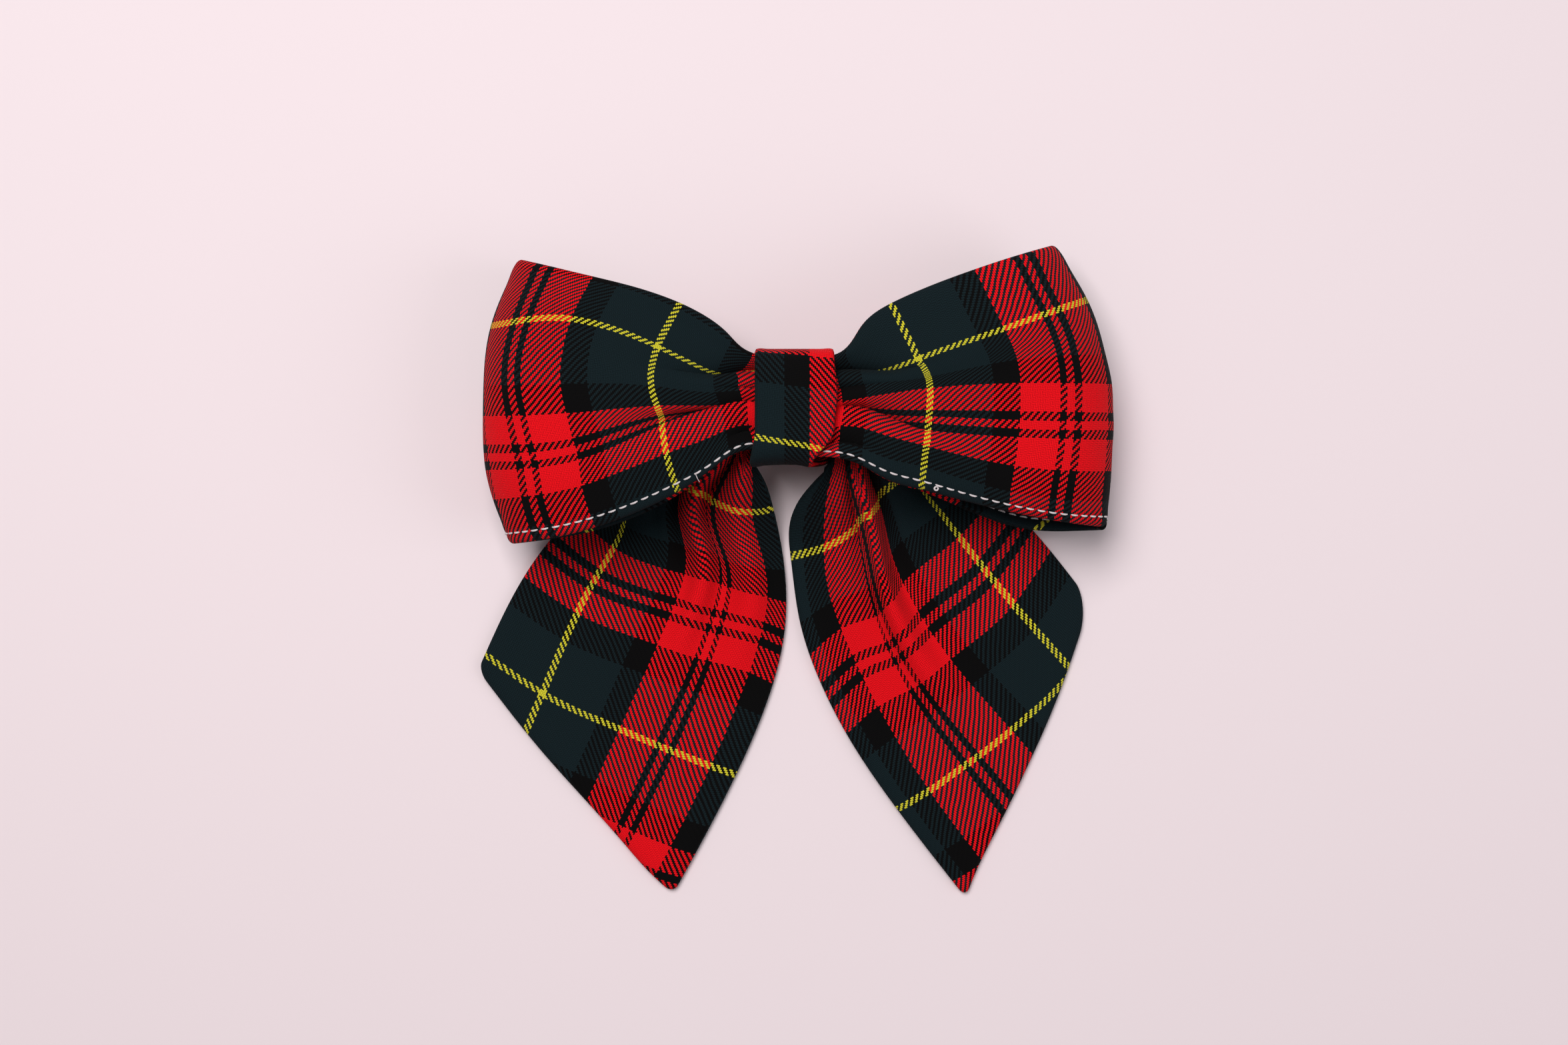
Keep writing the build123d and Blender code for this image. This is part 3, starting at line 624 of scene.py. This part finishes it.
# %% Tail nets, in millimetres
TAIL_END = -60.0
TAIL_ROWS = (-45.0, -38.0, -30.9, -15.5, 0.0, 30.9, 63.0)
TAILS = {
    "left": dict(
        cols=(-18.3, -11.0, 0.0, 16.5, 33.0, 47.0), cut=(63.6, 35.6, 0.0), corners=(2.6, 2.4),
        net=(
            ((-11.4, 27.4), (-11.9, 29.0), (-12.6, 31.5), (-14.0, 36.0), (-15.0, 40.0), (-15.0, 45.0)),
            ((-8.3, 22.0), (-12.0, 21.8), (-16.4, 24.4), (-21.6, 28.8), (-25.4, 32.0), (-27.0, 37.5)),
            ((-5.8, 15.3), (-12.3, 14.4), (-20.4, 17.0), (-29.0, 21.0), (-35.5, 23.0), (-38.5, 29.0)),
            ((-2.9, -1.5), (-9.0, -1.0), (-17.6, 1.6), (-29.8, 5.2), (-42.0, 9.8), (-50.0, 18.0)),
            ((-3.4, -17.6), (-10.0, -14.8), (-19.2, -12.5), (-33.5, -8.3), (-48.6, -2.4), (-60.4, 6.4)),
            ((-14.6, -49.4), (-21.8, -46.8), (-31.7, -43.0), (-46.4, -36.8), (-61.3, -29.8), (-75.4, -20.2)),
            ((-29.7, -78.1), (-36.6, -75.8), (-45.6, -72.0), (-59.6, -66.0), (-74.6, -58.8), (-88.0, -49.6)),
        ),
        ridges=((-8.0, 6.5, 5.5, 40.0), (7.4, 8.5, 3.2, 32.0), (18.5, 3.2, 3.6, 26.0), (27.0, 3.0, 6.0, 34.0)),
        valleys=((1.5, 0.6, 1.6, 34.0), (12.8, 1.0, 2.6, 38.0)),
    ),
    "right": dict(
        cols=(-21.8, -11.0, 0.0, 10.0, 18.0, 33.0, 45.5), cut=(57.2, 25.2, 1.9), corners=(2.6, 6.0),
        net=(
            ((8.0, 25.0), (9.8, 28.3), (10.6, 31.0), (12.5, 34.0), (13.2, 37.0), (14.0, 41.0), (14.0, 46.0)),
            ((-0.6, 15.0), (8.0, 17.5), (12.8, 21.3), (15.6, 24.8), (17.6, 28.6), (20.6, 33.0), (23.0, 38.5)),
            ((-1.7, 3.5), (7.6, 6.0), (15.1, 11.6), (18.6, 15.4), (21.4, 19.6), (26.4, 24.0), (32.0, 30.0)),
            ((1.0, -14.4), (9.8, -8.4), (18.6, -4.8), (22.0, 0.8), (26.0, 5.8), (35.0, 12.6), (44.0, 21.5)),
            ((7.0, -30.6), (15.6, -22.9), (23.7, -19.6), (29.2, -14.4), (34.4, -9.8), (45.4, -0.6), (54.8, 11.9)),
            ((23.9, -57.8), (32.6, -52.6), (41.8, -46.1), (49.6, -40.2), (55.8, -35.0), (66.2, -24.6), (74.6, -12.6)),
            ((44.6, -84.4), (52.6, -78.4), (62.4, -71.4), (70.6, -65.4), (76.8, -60.2), (87.6, -50.0), (97.0, -39.0)),
        ),
        ridges=((-8.0, 4.5, 7.5, 40.0), (5.5, 10.5, 4.2, 44.0), (19.0, 3.0, 4.4, 28.0), (27.0, 2.6, 6.0, 36.0)),
        valleys=((12.6, 1.0, 3.2, 42.0), (-1.5, 0.3, 1.6, 30.0)),
    ),
}
KNOT_MIDDLE = 38.6
TAIL_WAIST_LOW, TAIL_WAIST_DEPTH = 28.0, 21.5
# The arch of the clip that the tails lie over, and the lowest and highest that their middle may go
CLIP_TOP, CLIP_RISE, CLIP_SPAN = 14.6, 9.0, 34.0
TAIL_FLOOR, TAIL_CEILING = 1.3, 14.9


def tail_half(tail, fraction, reach):
    """One tail: fraction runs from 0 in the waist to 1 at the cut end, and reach from 0 at the inner edge to 1 at
    the outer one. The cut is a slant, a little hollow as a parabola is, whose corners fall away as quarter circles."""
    inner, outer = tail["cols"][0], tail["cols"][-1]
    w = inner + reach * (outer - inner)
    start, end, hollow = tail["cut"]
    slant = (end - start) / (outer - inner)
    cut = start + slant * (w - inner) - 4 * hollow * reach * (1 - reach)
    for distance, radius in zip((w - inner, outer - w), tail["corners"]):
        cut = cut - radius * (1 - edge_round(distance, radius))
    v = TAIL_END + fraction * (cut - TAIL_END)
    cols = np.array(tail["cols"])
    waist = np.stack([0 * cols, TAIL_WAIST_LOW + TAIL_WAIST_DEPTH * (cols - inner) / (outer - inner)], axis=-1)
    net = np.concatenate([waist[None], np.array(tail["net"])])
    plan = net_surface((TAIL_END, *TAIL_ROWS), cols, net, v, w)
    from_knot = np.hypot(plan[..., 0], plan[..., 1] - KNOT_MIDDLE)
    beyond = np.maximum(from_knot - 20, 0)
    out = smooth((from_knot - 12.0) / 13.0)
    height = 15.5 * smooth((36.0 - from_knot) / 25.0)
    for place, rise, width, length in tail["ridges"]:
        height = height + rise * out * np.exp(-((w - place) / width) ** 2 - (beyond / length) ** 2)
    for place, share, width, length in tail["valleys"]:
        dip = out * np.exp(-np.abs((w - place) / width) ** 1.5 - (beyond / length) ** 2)
        height = height * (1 - share * dip)
    over_clip = (CLIP_TOP - CLIP_RISE * (plan[..., 0] / CLIP_SPAN) ** 2) * smooth((plan[..., 1] - 26.0) / 7.0)
    over_clip = np.where(np.abs(plan[..., 0]) < 40.0, over_clip, 0)
    height = TAIL_FLOOR + np.maximum(np.minimum(height, TAIL_CEILING), over_clip)
    to_edge = np.minimum(w - inner, outer - w)
    to_cut = np.maximum(cut - v, 0) * np.cos(np.arctan(slant))
    full = 1.8 + 0.6 * np.exp(-((np.minimum(to_edge, to_cut) - 2.8) / 2.2) ** 2)
    thickness = full * edge_round(to_edge, EDGE_RADIUS) * edge_round(to_cut, EDGE_RADIUS)
    middle = seen_from_above(np.concatenate([plan, height[..., None]], axis=-1))
    return middle, np.stack([w, v], axis=-1), thickness


# %% The strip from cut to cut
TAIL_HALF_WIDTH = 32.6
across = (across_grid(TAIL_HALF_WIDTH, 9, 90) / TAIL_HALF_WIDTH + 1) / 2
near_cut = 0.025 * (1 - np.cos(np.linspace(0, np.pi / 2, 9)))
from_cut = np.concatenate([near_cut, np.linspace(0.025, 1, 150)[1:]])
fraction_grid, reach_grid = np.meshgrid(1 - from_cut, across, indexing="ij")
halves = [tail_half(TAILS[name], fraction_grid, reach_grid) for name in ("left", "right")]
tail_middle, tail_uv, tail_thickness = [np.concatenate([a, b[-2::-1]]) for a, b in zip(*halves)]
tail_cloth = double_ply("tail_cloth", tail_middle, normals_of(tail_middle), tail_thickness, tail_uv)
tail_cloth.data.materials.append(TARTAN_FALLING)
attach(tail_cloth, "bow")
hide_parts("tail_strip")
lowest = tail_middle[..., 2].min() - tail_thickness.max() / 2
print("tail cloth:", len(tail_cloth.data.polygons), "faces, lowest point %.2f mm" % lowest)

# %% [markdown]
# ## The knot band
# A narrow folded strip goes round the waist and hides the gathers. Its outline in the YZ plane is a closed curve
# through points chosen round the waist, and at each place on it the band has its own left and right edge, because
# it is pulled a little askew at the bottom. The flat cloth's place is the arc length round the curve.

# %% Band
BAND_OUTLINE = ((-1.0, 32.2), (6.0, 32.2), (11.6, 31.3), (13.9, 27.6), (13.9, 19.5), (12.6, 14.6), (7.4, 12.2),
                (0.0, 12.1), (-7.4, 12.2), (-12.4, 14.4), (-13.3, 19.5), (-13.2, 26.4), (-11.4, 30.8), (-7.0, 32.1))
BAND_THICKNESS, BAND_HALF = 1.3, 9.7


def band_middle(turn, side):
    """Middle surface of the band: turn runs from 0 to 1 round the waist, side from -1 at the left edge to 1."""
    outline = np.array(BAND_OUTLINE)
    count = len(outline)
    wrapped = np.concatenate([outline, outline, outline])
    y, z = [spline(np.arange(3 * count), wrapped[:, axis], count + turn * count) for axis in (0, 1)]
    low = smooth((-y - 5) / 9) * smooth((z - 12) / 8)
    left = -10.4 - 1.2 * low
    right = 9.0 - 5.4 * low + 0.9 * np.exp(-((y - 4) / 6) ** 2)
    y = y + 0.84 * low * (1 - side ** 2)
    x = (left + right) / 2 + side * (right - left) / 2
    return seen_from_above(np.stack([x, y + KNOT_MIDDLE, z], axis=-1))


band_turn = np.linspace(0, 1, 161)[:-1]
band_side = across_grid(BAND_HALF, 7, 40) / BAND_HALF
turn_grid, side_grid = np.meshgrid(band_turn, band_side, indexing="ij")
band = band_middle(turn_grid, side_grid)
ring_step = np.linalg.norm(np.diff(band, axis=0, append=band[:1]), axis=-1).mean(axis=1)
band_arc = np.concatenate([[0], np.cumsum(ring_step)[:-1]])
band_arc = np.where(band_turn > 0.5, band_arc - ring_step.sum(), band_arc)
print("band: %.0f mm round" % ring_step.sum())
BAND_RED, BAND_YELLOW = 14.85, -7.6
band_u = band[..., 0] - BAND_RED
askew = 0.11 + 0.08 * smooth((46 - band[..., 1]) / 14)
band_v = LENGTH[-1][1] + band_arc[:, None] - BAND_YELLOW + band[..., 0] * askew
band_edge = BAND_HALF * (1 - np.abs(side_grid))
band_thickness = BAND_THICKNESS * edge_round(band_edge, 0.7)
band_thickness += 0.25 * np.exp(-((band_edge - 1.6) / 1.0) ** 2)
knot_cloth = double_ply("knot_cloth", band, closed_normals(band), band_thickness * edge_round(band_edge, 0.7),
                        np.stack([band_u, band_v], axis=-1), closed=True)
knot_cloth.data.materials.append(TARTAN_FALLING)
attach(knot_cloth, "bow")
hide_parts("knot_band")

# %% [markdown]
# ## The gathering thread
# Four turns of dark thread draw the ring's waist together under the band. Each turn is a closed tube round a
# superellipse: the cosine and sine of the turn are raised to a power under one, which squares the ellipse off.

# %% Turns of gathering thread
WINDING_MIDDLE, WINDING_HALF, WINDING_RADIUS, SQUARENESS = (38.35, 24.65), (11.75, 5.5), 0.25, 0.45
WINDING_PLACES = (-0.9, -0.3, 0.3, 0.9)
WINDING_STEPS = 96
way_round = np.linspace(0, 2 * np.pi, WINDING_STEPS + 1)[:-1]
way_over = np.linspace(0, 2 * np.pi, THREAD_CORNERS + 1)[:-1]
turn, over = np.meshgrid(way_round, way_over, indexing="ij")
rim = WINDING_RADIUS * np.cos(over)
y, z = [middle + (half + rim) * np.sign(f(turn)) * np.abs(f(turn)) ** SQUARENESS
        for middle, half, f in zip(WINDING_MIDDLE, WINDING_HALF, (np.cos, np.sin))]
turns = [np.stack([place + WINDING_RADIUS * np.sin(over), y, z], axis=-1) for place in WINDING_PLACES]
turn_faces = tube_faces(WINDING_STEPS, THREAD_CORNERS, True)[:, ::-1]
winding_faces = np.concatenate([turn_faces + n * turn.size for n in range(len(turns))])
winding = object_from("bow_gather_winding", np.concatenate(turns).reshape(-1, 3) * MM, winding_faces)
winding.data.materials.append(DARK_THREAD)
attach(winding, "bow")
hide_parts("bow_gather_thread")
print("winding:", len(turns), "turns")

# %% [markdown]
# ## The stiffening
# A thin sheet of stiff interfacing lies between the two plies of each strip and keeps the bow's shape. It follows
# the same middle surface and stops short of every edge, so it is made from the middle columns of the same grids.

# %% Interfacing sheets
INTERFACING_INSET, INTERFACING_THICKNESS = 4, 0.3
inside = slice(*np.flatnonzero(np.abs(ACROSS_STRIP) < HALF_STRIP - INTERFACING_INSET)[[0, -1]])


def interfacing_sheet(name, middle, replaced, closed):
    """A thin sheet on part of a strip's middle surface."""
    normal = closed_normals(middle) if closed else normals_of(middle)
    rows, cols = [np.arange(n) for n in middle.shape[:2]]
    to_side = np.minimum(cols, cols[-1] - cols) + 0 * rows[:, None]
    ends = 1.0 if closed else np.minimum(rows, rows[-1] - rows)[:, None]
    thickness = INTERFACING_THICKNESS * edge_round(to_side, 0.9) * edge_round(np.minimum(ends, 1.0), 0.9)
    flat = np.stack(np.meshgrid(rows, cols, indexing="ij"), axis=-1).astype(float)
    sheet = double_ply(name, middle, normal, thickness, flat, closed)
    sheet.data.materials.append(INTERFACING)
    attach(sheet, "bow")
    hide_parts(replaced)
    return sheet


INTERFACING = thread_material("interfacing_finish", (0.62, 0.62, 0.60), 300.0)
bow_stiffening = interfacing_sheet("bow_interfacing_sheet", ring[:, inside][::2], "bow_interfacing", True)
tail_inside = slice(*np.flatnonzero((across > 0.08) & (across < 0.92))[[0, -1]])
tail_stiffening = interfacing_sheet("tail_interfacing_sheet", tail_middle[14:-14:2, tail_inside],
                                    "tail_interfacing", False)
print("interfacing faces", len(bow_stiffening.data.polygons), len(tail_stiffening.data.polygons))

# %% [markdown]
# ## Steel, glue and hidden threads
# The barrette's pieces, the glue and the hidden threads are the frame's own nodes, so they only need finishes.
# Plated spring steel is bright with fine lines from rolling, faint mottling in its shine and a little darkening.
# Noise stretched along the clip's length gives the lines, and a slower noise the mottling.


# %% Metal and glue finishes
def steel_material(name, colour, roughness, stretch):
    """Plated steel: base colour, a mean roughness, and how much the rolling lines are stretched along X."""
    material, tree, shader = new_material(name)
    place = add_node(tree, "ShaderNodeTexCoord").outputs["Object"]
    along_x = add_node(tree, "ShaderNodeVectorMath", place, stretch, operation="MULTIPLY")
    lines = add_node(tree, "ShaderNodeTexNoise", along_x.outputs[0], None, 1.0, 4.0)
    mottle = add_node(tree, "ShaderNodeTexNoise", place, None, 260.0, 3.0)
    shine = maths(tree, "MULTIPLY_ADD", lines.outputs["Fac"], 0.18, roughness - 0.12)
    shine = maths(tree, "MULTIPLY_ADD", mottle.outputs["Fac"], 0.10, shine)
    tree.links.new(shine, shader.inputs["Roughness"])
    light = maths(tree, "MULTIPLY_ADD", mottle.outputs["Fac"], 0.22, 0.86)
    tone = add_node(tree, "ShaderNodeVectorMath", colour, operation="SCALE")
    tree.links.new(light, tone.inputs["Scale"])
    tree.links.new(tone.outputs[0], shader.inputs["Base Color"])
    shader.inputs["Metallic"].default_value = 1.0
    relief(tree, shader, lines.outputs["Fac"], 0.08, 0.00003)
    return material


def glue_material(name):
    """Set hot glue: milky, smooth and slightly uneven."""
    material, tree, shader = new_material(name)
    place = add_node(tree, "ShaderNodeTexCoord").outputs["Object"]
    cloud = add_node(tree, "ShaderNodeTexNoise", place, None, 220.0, 3.0)
    milk = add_node(tree, "ShaderNodeMix", cloud.outputs["Fac"], data_type="RGBA")
    milk.inputs[6].default_value = (0.70, 0.66, 0.54, 1)
    milk.inputs[7].default_value = (0.88, 0.86, 0.78, 1)
    tree.links.new(milk.outputs[2], shader.inputs["Base Color"])
    relief(tree, shader, cloud.outputs["Fac"], 0.4, 0.0002)
    shader.inputs["Roughness"].default_value = 0.35
    return material


SPRING_STEEL = steel_material("plated_spring_steel", (0.74, 0.73, 0.70), 0.26, (120.0, 9000.0, 9000.0))
PIN_STEEL = steel_material("drawn_pin_steel", (0.62, 0.61, 0.59), 0.34, (9000.0, 200.0, 9000.0))
GLUE = glue_material("set_glue")
FINISHES = {
    "barrette_base": SPRING_STEEL, "clasp_arm": SPRING_STEEL, "tension_bar": SPRING_STEEL,
    "catch_plate": SPRING_STEEL, "catch_leg_upper": SPRING_STEEL, "catch_leg_lower": SPRING_STEEL,
    "hinge_pin": PIN_STEEL, "catch_rivet": PIN_STEEL, "glue_pad": GLUE,
    "tail_gather_thread": DARK_THREAD, "knot_stitches": DARK_THREAD, "ring_seam_stitches": PALE_THREAD,
}
for name, finish in FINISHES.items():
    node = bpy.data.objects[name]
    node.data.materials.clear()
    node.data.materials.append(finish)
print("finished nodes", len(FINISHES))
